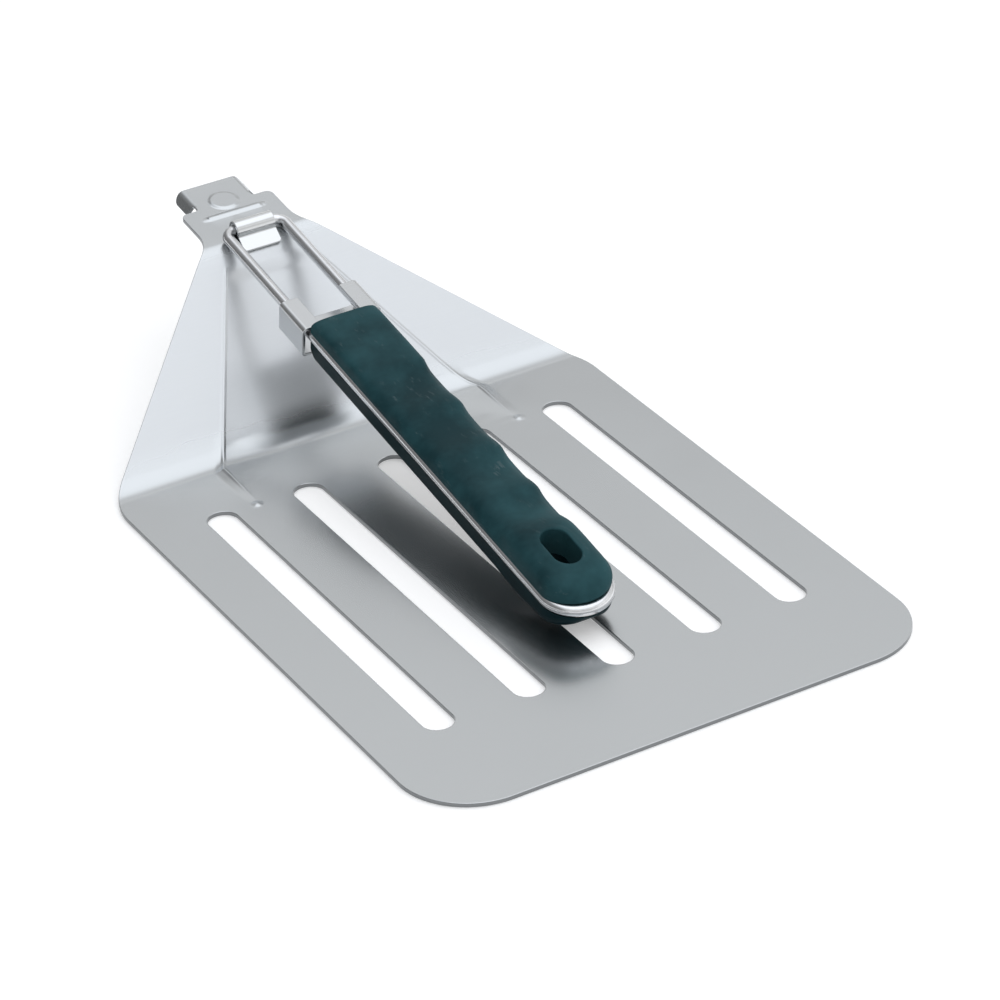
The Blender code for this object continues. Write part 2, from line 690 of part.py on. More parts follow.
def hole_cutter(parent):
    """The hanging hole's oval prism, square to the wires."""
    radius = HOLE_WIDTH / 2
    straight = HOLE_LENGTH / 2 - radius
    points = []
    for end, start_angle in ((HOLE_AT + straight, 0), (HOLE_AT - straight, math.pi)):
        for k in range(9):
            angle = start_angle + math.pi * k / 8
            points.append((radius * math.cos(angle), end + radius * math.sin(angle)))
    bm = extrude_outline(points, lambda p, n: (p[0], p[1], n), 30 * MM)
    return helper(new_object("hole_cutter", bm, None, parent))


def make_grip(rubber, plastic, parent):
    groove = helper(tube("groove_cutter", wire_path(), WIRE_RADIUS + CLEARANCE, 16, None, parent))
    hole = hole_cutter(parent)
    spine = spine_block("spine", SPINE_HALF, SPINE_ROOF + CLEARANCE, SPINE_FROM, SPINE_TO, parent)
    recess = spine_block("spine_recess", SPINE_HALF + CLEARANCE, SPINE_ROOF,
                         SPINE_FROM - CLEARANCE, SPINE_TO + CLEARANCE, parent)
    cover = grip_half("grip_cover", cover_section, COVER_TAIL, rubber, parent)
    boolean(cover, groove, "DIFFERENCE")
    boolean(cover, recess, "DIFFERENCE")
    boolean(cover, hole, "DIFFERENCE")
    core = grip_half("grip_core", core_section, CORE_TAIL, plastic, parent)
    boolean(core, spine, "UNION")
    boolean(core, groove, "DIFFERENCE")
    boolean(core, hole, "DIFFERENCE")


# ---------------------------------------------------------------- the model
def main():
    for obj in list(bpy.data.objects):
        bpy.data.objects.remove(obj)
    steel = material("blade_steel", (0.62, 0.62, 0.62), 0.32, 1.0)
    strap_steel = material("strap_steel", (0.70, 0.70, 0.71), 0.28, 1.0)
    collar_steel = material("collar_steel", (0.64, 0.65, 0.65), 0.34, 1.0)
    chrome = material("wire_chrome", (0.80, 0.80, 0.82), 0.12, 1.0)
    rubber = material("cover_rubber", (0.028, 0.060, 0.066), 0.55, 0.0)
    plastic = material("core_plastic", (0.016, 0.022, 0.024), 0.45, 0.0)

    make_blade(steel)
    make_strap(strap_steel)
    handle = make_handle_frame()
    tube("wire_bail", wire_path(), WIRE_RADIUS, 12, chrome, handle)
    make_collar(collar_steel, handle)
    make_grip(rubber, plastic, handle)
    bpy.context.view_layer.update()


main()
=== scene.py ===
"""A folding pizza peel with its finished surfaces: a slotted sheet-steel blade, a hinge strap, a wire
handle with a two-part grip, and a sliding lock collar. Metres, +Z up, +Y from blade to tongue."""

import json
import math

import bmesh
import bpy
from mathutils import Matrix, Vector


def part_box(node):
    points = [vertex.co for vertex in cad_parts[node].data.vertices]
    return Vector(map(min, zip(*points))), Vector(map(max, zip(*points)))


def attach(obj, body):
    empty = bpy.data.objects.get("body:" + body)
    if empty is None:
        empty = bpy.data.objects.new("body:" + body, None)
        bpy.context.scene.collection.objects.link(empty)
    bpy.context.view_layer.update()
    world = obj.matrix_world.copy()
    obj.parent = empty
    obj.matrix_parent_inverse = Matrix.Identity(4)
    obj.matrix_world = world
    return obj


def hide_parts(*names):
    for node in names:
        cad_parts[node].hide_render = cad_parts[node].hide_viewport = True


MM = 0.001

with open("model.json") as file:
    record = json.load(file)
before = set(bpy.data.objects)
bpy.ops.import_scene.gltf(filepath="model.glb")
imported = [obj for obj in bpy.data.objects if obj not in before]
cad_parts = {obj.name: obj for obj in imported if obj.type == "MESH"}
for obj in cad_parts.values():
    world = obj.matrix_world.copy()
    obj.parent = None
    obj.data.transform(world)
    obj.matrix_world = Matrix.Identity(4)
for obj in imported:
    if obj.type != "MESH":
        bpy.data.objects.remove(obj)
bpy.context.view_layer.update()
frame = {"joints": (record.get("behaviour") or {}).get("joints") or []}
JOINTS = {joint["name"]: joint for joint in frame["joints"]}

# ---------------------------------------------------------------- the blade's dimensions, metres
FRONT_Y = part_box("blade")[0][1]
BLADE_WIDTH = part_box("blade")[1][0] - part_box("blade")[0][0]
BLADE_LENGTH = 221.5 * MM        # front edge to the apex of the lower bend
NECK_LENGTH = 73.9 * MM          # apex to apex
TONGUE_LENGTH = 37.4 * MM        # apex of the upper bend to the tongue's far edge
NECK_ANGLE = math.radians(39)    # above the blade
TONGUE_ANGLE = math.radians(8)
SHEET = 1.5 * MM
LOWER_BEND = 15 * MM             # radii on the top surface
UPPER_BEND = 10 * MM
CORNER_RADIUS = 25 * MM
EDGE_RADIUS = 0.22 * MM          # the sheet's cut edges are tumbled this much

SLOT_COUNT = 5
SLOT_PITCH = 32 * MM
SLOT_WIDTH = 10.6 * MM
SLOT_FRONT = 41.7 * MM           # front edge to the slots' front ends
SLOT_REAR = 193.5 * MM

LOWER_SETBACK = LOWER_BEND * math.tan(NECK_ANGLE / 2)
UPPER_TURN = NECK_ANGLE - TONGUE_ANGLE
UPPER_SETBACK = UPPER_BEND * math.tan(UPPER_TURN / 2)
LOWER_START = BLADE_LENGTH - LOWER_SETBACK
LOWER_END = LOWER_START + LOWER_BEND * NECK_ANGLE
UPPER_START = LOWER_END + NECK_LENGTH - LOWER_SETBACK - UPPER_SETBACK
UPPER_END = UPPER_START + UPPER_BEND * UPPER_TURN
SHEET_END = UPPER_END + TONGUE_LENGTH - UPPER_SETBACK
UPPER_APEX = UPPER_END - UPPER_SETBACK

# tongue and head, in the flat pattern (x from the centre plane, s from the front edge)
TONGUE_HALF = 17.6 * MM
TAPER_START = 217.4 * MM         # where the taper's line meets the blade's side
TAPER_SLOPE = 0.885              # half-width lost per length of neck
SHOULDER = UPPER_APEX + 23.7 * MM
NOTCH_ROOT = 10.7 * MM
NOTCH_WIDTH = 3.8 * MM
HEAD_FLAT = 9.3 * MM             # half-width of the head before its wings turn down
WING_RADIUS = 3.0 * MM
WING_ANGLE = math.radians(50)
WING_LEG = 2.9 * MM
HEAD_HALF = HEAD_FLAT + WING_RADIUS * WING_ANGLE + WING_LEG

BEAD_AT = UPPER_APEX + 17.1 * MM
BEAD_HALF_WIDTH = 1.8 * MM
BEAD_HEIGHT = 0.6 * MM
BEAD_REACH = 12.8 * MM
BEAD_FULL = 9.6 * MM             # half-length at full height
BEAD_DIP = 0.2 * MM              # height left under the open handle's legs
BOSS_AT = UPPER_APEX + 25.0 * MM
BOSS_RADIUS = 5.6 * MM
BOSS_HEIGHT = 0.5 * MM

RIB_HEIGHT = 0.32 * MM
RIB_HALF_WIDTH = 1.0 * MM
RIB_FOOT_X = 49.3 * MM           # half-spacing of the ribs at the lower bend
RIB_SLOPE = 0.472                # how fast the ribs close in along the neck
RIB_FRONT = 193.0 * MM           # the ribs fade out here, on the blade
RIB_REAR = UPPER_START - 4 * MM
DIMPLE_X = 50.1 * MM
DIMPLE_AT = 190.7 * MM
DIMPLE_RADIUS = 2.4 * MM
DIMPLE_HEIGHT = 0.45 * MM
GUSSET_HEIGHT = 0.8 * MM         # a shallow facet on each rib's inner side, where the sheet bends
GUSSET_WIDTH = 18 * MM
GUSSET_OUTER = 4 * MM            # its fall on the outer side of the rib
GUSSET_FULL = RIB_FRONT + 19 * MM
GUSSET_END = LOWER_END + 6 * MM

# ---------------------------------------------------------------- strap, wire, collar, grip
HINGE = Vector(JOINTS["handle_fold"]["pos_m"])
HINGE_AHEAD = 3.5 * MM           # hinge axis behind the upper bend's apex, along the tongue
HINGE_RISE = 2.45 * MM           # hinge axis above the tongue's face
FOLD_SLOPE = math.radians(10.15)  # the folded handle falls this much towards the blade's front
WIRE_RADIUS = 2.0 * MM
WIRE_SPREAD = 11.0 * MM          # centre plane to each leg's centreline
WIRE_ELBOW = 4.2 * MM
WIRE_LENGTH = 224.7 * MM         # hinge axis to the loop's centreline
LOOP_CENTRE = WIRE_LENGTH - WIRE_SPREAD
CLEARANCE = 0.3 * MM

STRAP_SHEET = 1.2 * MM
STRAP_HALF = 7.3 * MM
STRAP_FRONT_FOOT = 5.9 * MM
STRAP_REAR_FOOT = 7.0 * MM
STRAP_BEND = WIRE_RADIUS + CLEARANCE + STRAP_SHEET / 2   # mid-surface radius over the wire
STRIP_EDGE = 0.25 * MM           # edge radius of the strap and the collar

# collar and grip, in the handle's own frame: u along the legs from the hinge, n off the blade
GRIP_START = 63.9 * MM
COLLAR_SHEET = 1.2 * MM
COLLAR_START = 46.9 * MM
COLLAR_END = GRIP_START - CLEARANCE
COLLAR_HALF = 14.9 * MM
COLLAR_LIP_EDGE = 7.9 * MM
COLLAR_TOP = WIRE_RADIUS + CLEARANCE + COLLAR_SHEET
COLLAR_HEIGHT = 11.65 * MM
COLLAR_CORNER = 1.8 * MM

COVER_TAIL = 10.0 * MM           # the rounded ends, beyond the loop's centre
CORE_TAIL = 12.0 * MM
RIM_HALF = 12.4 * MM             # half-width of both grip halves where they meet the wires
GROOVE_RADIUS = WIRE_RADIUS + CLEARANCE
PARTING_GAP = 0.15 * MM          # each half stops this far from the wires' plane
HOLE_AT = 204.6 * MM
HOLE_LENGTH = 17 * MM
HOLE_WIDTH = 10 * MM
HOLE_FILLET = 0.6 * MM
GRIP_SPAN = 18 * MM              # half-width of the grip's unrolled outline
GRIP_FLAT = 6.6 * MM             # this much of it, each side, keeps its true width
BLANK_DEPTH = 40 * MM            # marks the grip's inner face before the blank is shaped
BLANK_TAIL = 0.9985              # the blank stops just short of the rounded end's tip

# ---------------------------------------------------------------- finish and studio
HAIRLINE = 0.02                  # how much the rolled sheet's hairlines show
SATIN_BAND = (4 * MM, 43 * MM)   # heights between which the blade's sheet is satin
SATIN_BLEND = 6 * MM             # height over which its gloss changes
SATIN_TINT = (1.12, 1.115, 1.12)  # keeps the satin as bright as the gloss
SATIN_METALLIC = 0.62            # the gloss is fully metallic
SATIN_ROUGHER = 0.06             # added to the roughness of the gloss
STUDIO_LEVEL = 1.75              # radiance that full white stands for in the ramp by height
KEY_LEVEL = 1.5                  # the soft key on the right is this many times brighter
STUDIO_RIGHT = (0.861, -0.507)   # the view's right-hand direction, seen from above
FLOOR_HALF = 6.0
FLOOR_DROP = 0.2 * MM            # the floor stays this far below the blade's flat underside


# ---------------------------------------------------------------- small tools
def ramp_up(low, high, value):
    """0 at low, 1 at high, straight in between; low may be the larger of the two."""
    return min(1.0, max(0.0, (value - low) / (high - low)))


def smoothstep(low, high, value):
    """0 at low, 1 at high, with soft ends; low may be the larger of the two."""
    t = ramp_up(low, high, value)
    return t * t * (3 - 2 * t)


def interpolate(table, at):
    """Smooth curve through a few (station, value) pairs."""
    if at <= table[0][0]:
        return table[0][1]
    for (a, value_a), (b, value_b) in zip(table, table[1:]):
        if at <= b:
            return value_a + (value_b - value_a) * smoothstep(a, b, at)
    return table[-1][1]


def steps(low, high, count):
    return [low + (high - low) * k / count for k in range(count + 1)]


def rounded(corners):
    """Points of an open outline; each corner is (x, y, radius, steps)."""
    points = []
    last = len(corners) - 1
    for i, (x, y, radius, count) in enumerate(corners):
        if radius == 0 or i in (0, last):
            points.append((x, y))
            continue
        here = Vector((x, y))
        back = (Vector(corners[i - 1][:2]) - here).normalized()
        ahead = (Vector(corners[i + 1][:2]) - here).normalized()
        half = back.angle(ahead) / 2
        centre = here + (back + ahead).normalized() * radius / math.sin(half)
        start = here + back * radius / math.tan(half) - centre
        end = here + ahead * radius / math.tan(half) - centre
        sweep = start.angle_signed(end)
        for k in range(count + 1):
            turned = Matrix.Rotation(-sweep * k / count, 2) @ start
            points.append(tuple(centre + turned))
    return points


def stadium(x, low, high, width, count):
    """A long hole with full-round ends, centred on x."""
    radius = width / 2
    points = []
    for end, start_angle in ((high - radius, 0), (low + radius, math.pi)):
        for k in range(count + 1):
            angle = start_angle + math.pi * k / count
            points.append((x + radius * math.cos(angle), end + radius * math.sin(angle)))
    return points


def mirrored(half):
    """A closed outline from its right half, which starts and ends on the centre line."""
    return half + [(-x, y) for x, y in reversed(half[1:-1])]


def bridge(bm, a, b):
    """Join two closed rings of vertices with faces."""
    for k in range(len(a)):
        m = (k + 1) % len(a)
        bm.faces.new((a[k], a[m], b[m], b[k]))


def ring_edges(bm, ring):
    return [bm.edges.get((ring[k], ring[(k + 1) % len(ring)])) for k in range(len(ring))]


def finish_object(name, bm, finish, body, node, smooth_angle=40):
    """Link the mesh, give it its material, and tell the frame what it stands for."""
    bmesh.ops.recalc_face_normals(bm, faces=bm.faces)
    mesh = bpy.data.meshes.new(name)
    bm.to_mesh(mesh)
    bm.free()
    mesh.shade_smooth()
    mesh.set_sharp_from_angle(angle=math.radians(smooth_angle))
    mesh.materials.append(finish)
    made = bpy.data.objects.new(name, mesh)
    bpy.context.scene.collection.objects.link(made)
    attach(made, body)
    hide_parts(node)
    return made


# ---------------------------------------------------------------- flat plates with rounded edges
def inward(points):
    """Unit-offset directions into the material, for a closed outline (holes run the other way)."""
    found = []
    for i, point in enumerate(points):
        here = Vector(point)
        back = (here - Vector(points[i - 1])).normalized()
        ahead = (Vector(points[(i + 1) % len(points)]) - here).normalized()
        normal = Vector((-back.y - ahead.y, back.x + ahead.x)).normalized()
        found.append(normal / max(0.5, normal.dot(Vector((-ahead.y, ahead.x)))))
    return found


def turning(points):
    """Twice the outline's signed area."""
    return sum(a[0] * b[1] - b[0] * a[1] for a, b in zip(points, points[1:] + points[:1]))


def edge_profile(thickness, radius, count, support):
    """(inset, depth) down a plate's edge; the support ring keeps the flat's shading flat."""
    profile = [(radius + support, 0.0)]
    for k in range(count + 1):
        angle = math.pi / 2 * k / count
        profile.append((radius * (1 - math.sin(angle)), radius * (1 - math.cos(angle))))
    return profile + [(inset, thickness - depth) for inset, depth in reversed(profile)]


def edge_rings(bm, points, profile):
    """Rings of vertices down an edge, bridged; each is (inset, depth) from the outline."""
    directions = inward(points)
    rings = []
    for inset, depth in profile:
        rings.append([bm.verts.new((p[0] + d.x * inset, p[1] + d.y * inset, -depth))
                      for p, d in zip(points, directions)])
    for a, b in zip(rings, rings[1:]):
        bridge(bm, a, b)
    return rings


def fill(bm, edges):
    """Flat faces inside an outline and round its holes."""
    bmesh.ops.triangle_fill(bm, use_beauty=True, use_dissolve=False, edges=edges)


def plate(outline, holes, profile):
    """A flat plate: caps joined by rounded edges, with z as the depth below the top."""
    bm = bmesh.new()
    caps = ([], [])
    for closed, is_hole in [(outline, False)] + [(hole, True) for hole in holes]:
        points = list(closed)
        if (turning(points) < 0) != is_hole:
            points.reverse()
        rings = edge_rings(bm, points, profile)
        for cap, ring in zip(caps, (rings[0], rings[-1])):
            cap.extend(ring_edges(bm, ring))
    for cap in caps:
        fill(bm, cap)
    return bm


def cut(bm, point, normal, inside=None):
    """Split the faces along a line: all of them, or where inside(centre) holds."""
    if inside is None:
        geometry = bm.verts[:] + bm.edges[:] + bm.faces[:]
    else:
        faces = [f for f in bm.faces if inside(f.calc_center_median())]
        edges = {e for f in faces for e in f.edges}
        verts = {v for f in faces for v in f.verts}
        geometry = faces + list(edges) + list(verts)
    bmesh.ops.bisect_plane(bm, geom=geometry, dist=1e-7,
                           plane_co=(*point, 0), plane_no=(*normal, 0))


def cut_across(bm, stations, inside=None):
    for s in stations:
        cut(bm, (0, s), (0, 1), inside)


def cut_along(bm, stations, inside=None):
    for x in stations:
        cut(bm, (x, 0), (1, 0), inside)


def place_plate(bm, place):
    """Bend the plate: place(x, s, depth) gives each vertex its position."""
    bmesh.ops.triangulate(bm, faces=bm.faces)
    for v in bm.verts:
        v.co = place(v.co.x, v.co.y, -v.co.z)
    return bm


# ---------------------------------------------------------------- the blade
def sheet_station(s):
    """World (y, z) and slope of the sheet's top surface at length s from the front edge."""
    if s <= LOWER_START:
        return FRONT_Y + s, SHEET, 0.0
    y, z = FRONT_Y + LOWER_START, SHEET
    turn = min(s - LOWER_START, LOWER_END - LOWER_START) / LOWER_BEND
    y += LOWER_BEND * math.sin(turn)
    z += LOWER_BEND * (1 - math.cos(turn))
    run = min(max(s - LOWER_END, 0), UPPER_START - LOWER_END)
    y += run * math.cos(NECK_ANGLE)
    z += run * math.sin(NECK_ANGLE)
    if s <= UPPER_START:
        return y, z, turn
    back = min(s - UPPER_START, UPPER_END - UPPER_START) / UPPER_BEND
    slope = NECK_ANGLE - back
    y += UPPER_BEND * (math.sin(NECK_ANGLE) - math.sin(slope))
    z += UPPER_BEND * (math.cos(slope) - math.cos(NECK_ANGLE))
    run = max(s - UPPER_END, 0)
    return y + run * math.cos(slope), z + run * math.sin(slope), slope


def bead(x, s):
    """A low round bead across the tongue, lower where the open handle's legs pass over it."""
    across = max(0.0, 1 - abs(s - BEAD_AT) / BEAD_HALF_WIDTH)
    middle = smoothstep(BEAD_FULL + 1 * MM, BEAD_FULL, abs(x))
    ends = smoothstep(BEAD_REACH, BEAD_REACH - 1.4 * MM, abs(x))
    height = BEAD_DIP * ends + (BEAD_HEIGHT - BEAD_DIP) * middle
    return height * math.sin(math.pi / 2 * across) ** 2


def boss(x, s):
    """A round pressed boss on the head."""
    away = math.hypot(x, s - BOSS_AT)
    return BOSS_HEIGHT * smoothstep(BOSS_RADIUS, BOSS_RADIUS - 1.1 * MM, away)


def rib_x(s):
    return RIB_FOOT_X - RIB_SLOPE * max(0.0, s - LOWER_START)


def rib(x, s):
    """Two fine pressed ribs: parallel on the blade, closing in along the neck."""
    slope = RIB_SLOPE if s > LOWER_START else 0.0
    away = abs(abs(x) - rib_x(s)) / math.hypot(1, slope)
    ends = smoothstep(RIB_FRONT, RIB_FRONT + 20 * MM, s) * smoothstep(RIB_REAR, RIB_REAR - 4 * MM, s)
    crest = smoothstep(1, 0, away / RIB_HALF_WIDTH)
    return RIB_HEIGHT * ends * crest


def dimple(x, s):
    """A small raised point where each rib begins."""
    away = math.hypot(abs(x) - DIMPLE_X, s - DIMPLE_AT)
    return DIMPLE_HEIGHT * smoothstep(DIMPLE_RADIUS, 0, away)


def gusset(x, s):
    """A triangular facet that leans on the rib line and widens from its tip to the bend."""
    grown = ramp_up(RIB_FRONT, GUSSET_FULL, s)
    high = GUSSET_HEIGHT * grown * ramp_up(GUSSET_END, LOWER_START, s)
    within = rib_x(s) - abs(x)
    if within < 0:
        return high * smoothstep(GUSSET_OUTER, 0, -within)
    wide = GUSSET_WIDTH * grown * ramp_up(GUSSET_END, LOWER_START, s)
    return high * max(0.0, 1 - within / max(wide, RIB_HALF_WIDTH))


def sheet_point(x, s, depth):
    """World place of a point of the flat pattern, depth below the top surface."""
    y, z, slope = sheet_station(s)
    lift = bead(x, s) + boss(x, s) + rib(x, s) + dimple(x, s) + gusset(x, s) - depth
    turned = smoothstep(SHOULDER, SHOULDER + NOTCH_WIDTH, s)
    beyond = max(0.0, abs(x) - HEAD_FLAT)
    arc = min(beyond / WING_RADIUS, WING_ANGLE)
    leg = max(0.0, beyond - WING_RADIUS * WING_ANGLE)
    angle = arc * turned
    if turned == 0:
        out, drop = abs(x), 0.0
    else:
        radius = WING_RADIUS / turned
        out = min(abs(x), HEAD_FLAT) + radius * math.sin(angle) + leg * math.cos(angle)
        drop = radius * (1 - math.cos(angle)) + leg * math.sin(angle)
    rise = lift * math.cos(angle) - drop
    side = out + lift * math.sin(angle)
    return Vector((
        math.copysign(side, x),
        y - rise * math.sin(slope),
        z + rise * math.cos(slope),
    ))


def blade_outline():
    """The flat pattern's outline, one half mirrored onto the other."""
    half_width = BLADE_WIDTH / 2
    taper_end = TAPER_START + (half_width - TONGUE_HALF) / TAPER_SLOPE
    notch_end = SHOULDER + NOTCH_WIDTH
    half = rounded([
        (0, 0, 0, 0),
        (half_width, 0, CORNER_RADIUS, 40),
        (half_width, TAPER_START, 30 * MM, 24),
        (TONGUE_HALF, taper_end, 16 * MM, 14),
        (TONGUE_HALF, SHOULDER, 2.5 * MM, 10),
        (NOTCH_ROOT, SHOULDER, 1.0 * MM, 6),
        (NOTCH_ROOT, notch_end, 1.0 * MM, 6),
        (HEAD_HALF, notch_end, 1.0 * MM, 6),
        (HEAD_HALF, SHEET_END, 3.2 * MM, 12),
        (0, SHEET_END, 0, 0),
    ])
    return mirrored(half)


def strap_slit():
    """The slit in the tongue that the strap's rear wall passes through."""
    middle = UPPER_APEX + HINGE_AHEAD + STRAP_BEND
    half = STRAP_SHEET / 2 + CLEARANCE
    reach = STRAP_HALF + CLEARANCE
    return [(-reach, middle - half), (reach, middle - half),
            (reach, middle + half), (-reach, middle + half)]


def cut_bends(bm):
    """Fine stations through both bends, with a support line just outside each."""
    support = 0.4 * MM
    for start, end, count in ((LOWER_START, LOWER_END, 18), (UPPER_START, UPPER_END, 14)):
        cut_across(bm, [start - support] + steps(start, end, count) + [end + support])


def cut_rib(bm, side):
    """Lines along one rib, and along the edges of the facet at its foot."""
    offsets = steps(-RIB_HALF_WIDTH, RIB_HALF_WIDTH, 8) + steps(1.5 * MM, GUSSET_OUTER, 5)
    for offset in offsets:
        foot = side * (RIB_FOOT_X + offset * math.hypot(1, RIB_SLOPE))
        cut(bm, (foot, LOWER_START), (side, RIB_SLOPE),
            lambda c: c.x * side > 0 and LOWER_START < c.y < UPPER_START)
        cut(bm, (side * (RIB_FOOT_X + offset), 0), (1, 0),
            lambda c: c.x * side > 0 and RIB_FRONT - 3 * MM < c.y < LOWER_START)
    far = (side * (RIB_FOOT_X - GUSSET_WIDTH), GUSSET_FULL)
    cut(bm, far, (GUSSET_FULL - RIB_FRONT, side * GUSSET_WIDTH),
        lambda c: far[0] * side < c.x * side < RIB_FOOT_X and c.y < LOWER_START)
    cut(bm, far, (1, 0), lambda c: c.x * side > 0 and GUSSET_FULL < c.y < LOWER_START)
    back = (side * rib_x(GUSSET_END), GUSSET_END)
    cut(bm, back, (LOWER_START - GUSSET_END, back[0] - far[0]),
        lambda c: 0 < c.x * side < RIB_FOOT_X and LOWER_START < c.y < GUSSET_END)


def near_rib_foot(c):
    return abs(abs(c.x) - RIB_FOOT_X + 8 * MM) < 18 * MM


def cut_rib_feet(bm):
    """Lines across the ribs' feet, the dimples and the ribs' rear ends."""
    reach = DIMPLE_RADIUS + 0.1 * MM
    cut_across(bm, steps(DIMPLE_AT - reach, RIB_FRONT + 3 * MM, 13), near_rib_foot)
    cut_across(bm, steps(RIB_FRONT + 4 * MM, LOWER_START, 10), near_rib_foot)
    cut_along(bm, [side * (DIMPLE_X + part * MM / 2) for side in (-1, 1) for part in range(-5, 6)],
              lambda c: abs(c.y - DIMPLE_AT) < reach)
    cut_across(bm, [GUSSET_FULL], near_rib_foot)
    cut_across(bm, steps(LOWER_END, GUSSET_END, 5) + steps(RIB_REAR - 5 * MM, RIB_REAR, 6),
               lambda c: LOWER_END < c.y < UPPER_START)


def cut_tongue(bm):
    """Lines across and along the bead, and a fine grid over the boss and the wings."""
    bead_end = BEAD_AT + BEAD_HALF_WIDTH
    cut_across(bm, steps(BEAD_AT - BEAD_HALF_WIDTH, bead_end, 12),
               lambda c: UPPER_END < c.y < SHOULDER)
    cut_along(bm, steps(-14 * MM, 14 * MM, 40), lambda c: abs(c.y - BEAD_AT) < BEAD_HALF_WIDTH)
    cut_across(bm, steps(bead_end, SHEET_END, 34), lambda c: c.y > bead_end)
    cut_along(bm, steps(-HEAD_HALF, HEAD_HALF, 48), lambda c: c.y > bead_end)


def make_blade(finish):
    first = -(SLOT_COUNT - 1) / 2
    holes = [stadium((first + i) * SLOT_PITCH, SLOT_FRONT, SLOT_REAR, SLOT_WIDTH, 32)
             for i in range(SLOT_COUNT)]
    profile = edge_profile(SHEET, EDGE_RADIUS, 4, support=0.12 * MM)
    bm = plate(blade_outline(), holes + [strap_slit()], profile)
    cut_bends(bm)
    for side in (-1, 1):
        cut_rib(bm, side)
    cut_rib_feet(bm)
    cut_tongue(bm)
    return finish_object("blade_sheet", place_plate(bm, sheet_point), finish,
                         "blade", "blade")


# ---------------------------------------------------------------- bent strips: strap and collar
def cross(a, b):
    return a.x * b.y - a.y * b.x


def strap_path():
    """The strap's mid-surface in world (y, z), from its rear foot to its front foot."""
    hinge = Vector((HINGE.y, HINGE.z))
    along = Vector((math.cos(TONGUE_ANGLE), math.sin(TONGUE_ANGLE)))
    up = Vector((-along.y, along.x))
    below = -(HINGE_RISE + SHEET + CLEARANCE + STRAP_SHEET / 2)
    rear_corner = hinge + along * STRAP_BEND + up * below
    rear_end = rear_corner + along * STRAP_REAR_FOOT

    y, z, _ = sheet_station(UPPER_START)
    neck = Vector((math.cos(NECK_ANGLE), math.sin(NECK_ANGLE)))
    off_neck = Vector((-neck.y, neck.x)) * (CLEARANCE + STRAP_SHEET / 2)
    wall = hinge - along * STRAP_BEND
    reach = cross(Vector((y, z)) + off_neck - wall, neck) / cross(-up, neck)
    front_corner = wall - up * reach
    front_end = front_corner - neck * STRAP_FRONT_FOOT

    over = []
    for k in range(25):
        angle = math.pi * k / 24
        bend = hinge + (along * math.cos(angle) + up * math.sin(angle)) * STRAP_BEND
        over.append((bend.x, bend.y, 0, 0))
    foot_bend = STRAP_SHEET
    corners = [(*rear_end, 0, 0), (*rear_corner, foot_bend, 8), *over,
               (*front_corner, foot_bend, 8), (*front_end, 0, 0)]
    return [Vector(point) for point in rounded(corners)]


def collar_path():
    """The collar's mid-surface, (x, n): a C with its open side up."""
    half_sheet = COLLAR_SHEET / 2
    top = COLLAR_TOP - half_sheet
    low = COLLAR_TOP - COLLAR_HEIGHT + half_sheet
    side = COLLAR_HALF - half_sheet
    bend = COLLAR_CORNER - half_sheet
    path = rounded([
        (-COLLAR_LIP_EDGE, top, 0, 0),
        (-side, top, bend, 8),
        (-side, low, bend, 8),
        (side, low, bend, 8),
        (side, top, bend, 8),
        (COLLAR_LIP_EDGE, top, 0, 0),
    ])
    return [Vector(p) for p in path]


class Strip:
    """A strip of sheet that follows a mid-line: the length along it gives a place and a normal."""

    def __init__(self, path, thickness):
        self.path = path
        self.thickness = thickness
        self.stations = [0.0]
        for a, b in zip(path, path[1:]):
            self.stations.append(self.stations[-1] + (b - a).length)
        self.length = self.stations[-1]

    def normal(self, i):
        back = self.path[i] - self.path[max(i - 1, 0)]
        ahead = self.path[min(i + 1, len(self.path) - 1)] - self.path[i]
        middle = (back.normalized() + ahead.normalized()).normalized()
        return Vector((-middle.y, middle.x))

    def point(self, s, depth):
        """A point of the strip's section, depth below its left face."""
        i = 0
        while i < len(self.path) - 2 and s > self.stations[i + 1]:
            i += 1
        share = (s - self.stations[i]) / (self.stations[i + 1] - self.stations[i])
        here = self.path[i].lerp(self.path[i + 1], share)
        normal = self.normal(i).lerp(self.normal(i + 1), share).normalized()
        return here + normal * (self.thickness / 2 - depth)


def strip_plate(strip, half_width, corner, edge):
    """The strip laid flat, x across it and y along it, cut at every bend station."""
    half = rounded([
        (0, 0, 0, 0),
        (half_width, 0, corner, 8),
        (half_width, strip.length, corner, 8),
        (0, strip.length, 0, 0),
    ])
    profile = edge_profile(strip.thickness, edge, 4, support=0.08 * MM)
    bm = plate(mirrored(half), [], profile)
    cut_across(bm, strip.stations[1:-1])
    bends = [s for a, s, b in zip(strip.stations, strip.stations[1:], strip.stations[2:])
             if max(s - a, b - s) > 1 * MM]
    cut_across(bm, [s + side * 0.1 * MM for s in bends for side in (-1, 1)])
    return bm


def make_strap(finish):
    strip = Strip(strap_path(), STRAP_SHEET)
    bm = strip_plate(strip, STRAP_HALF, corner=1.2 * MM, edge=STRIP_EDGE)

    def place(x, s, depth):
        point = strip.point(s, depth)
        return Vector((x, point.x, point.y))

    return finish_object("strap_sheet", place_plate(bm, place), finish,
                         "blade", "hinge_strap")


# ---------------------------------------------------------------- the handle, in its own frame
def handle_point(x, u, n):
    """World place of a point of the handle: u along the legs from the hinge, n off the blade."""
    return Vector((
        -x,
        HINGE.y - u * math.cos(FOLD_SLOPE) - n * math.sin(FOLD_SLOPE),
        HINGE.z - u * math.sin(FOLD_SLOPE) + n * math.cos(FOLD_SLOPE),
    ))


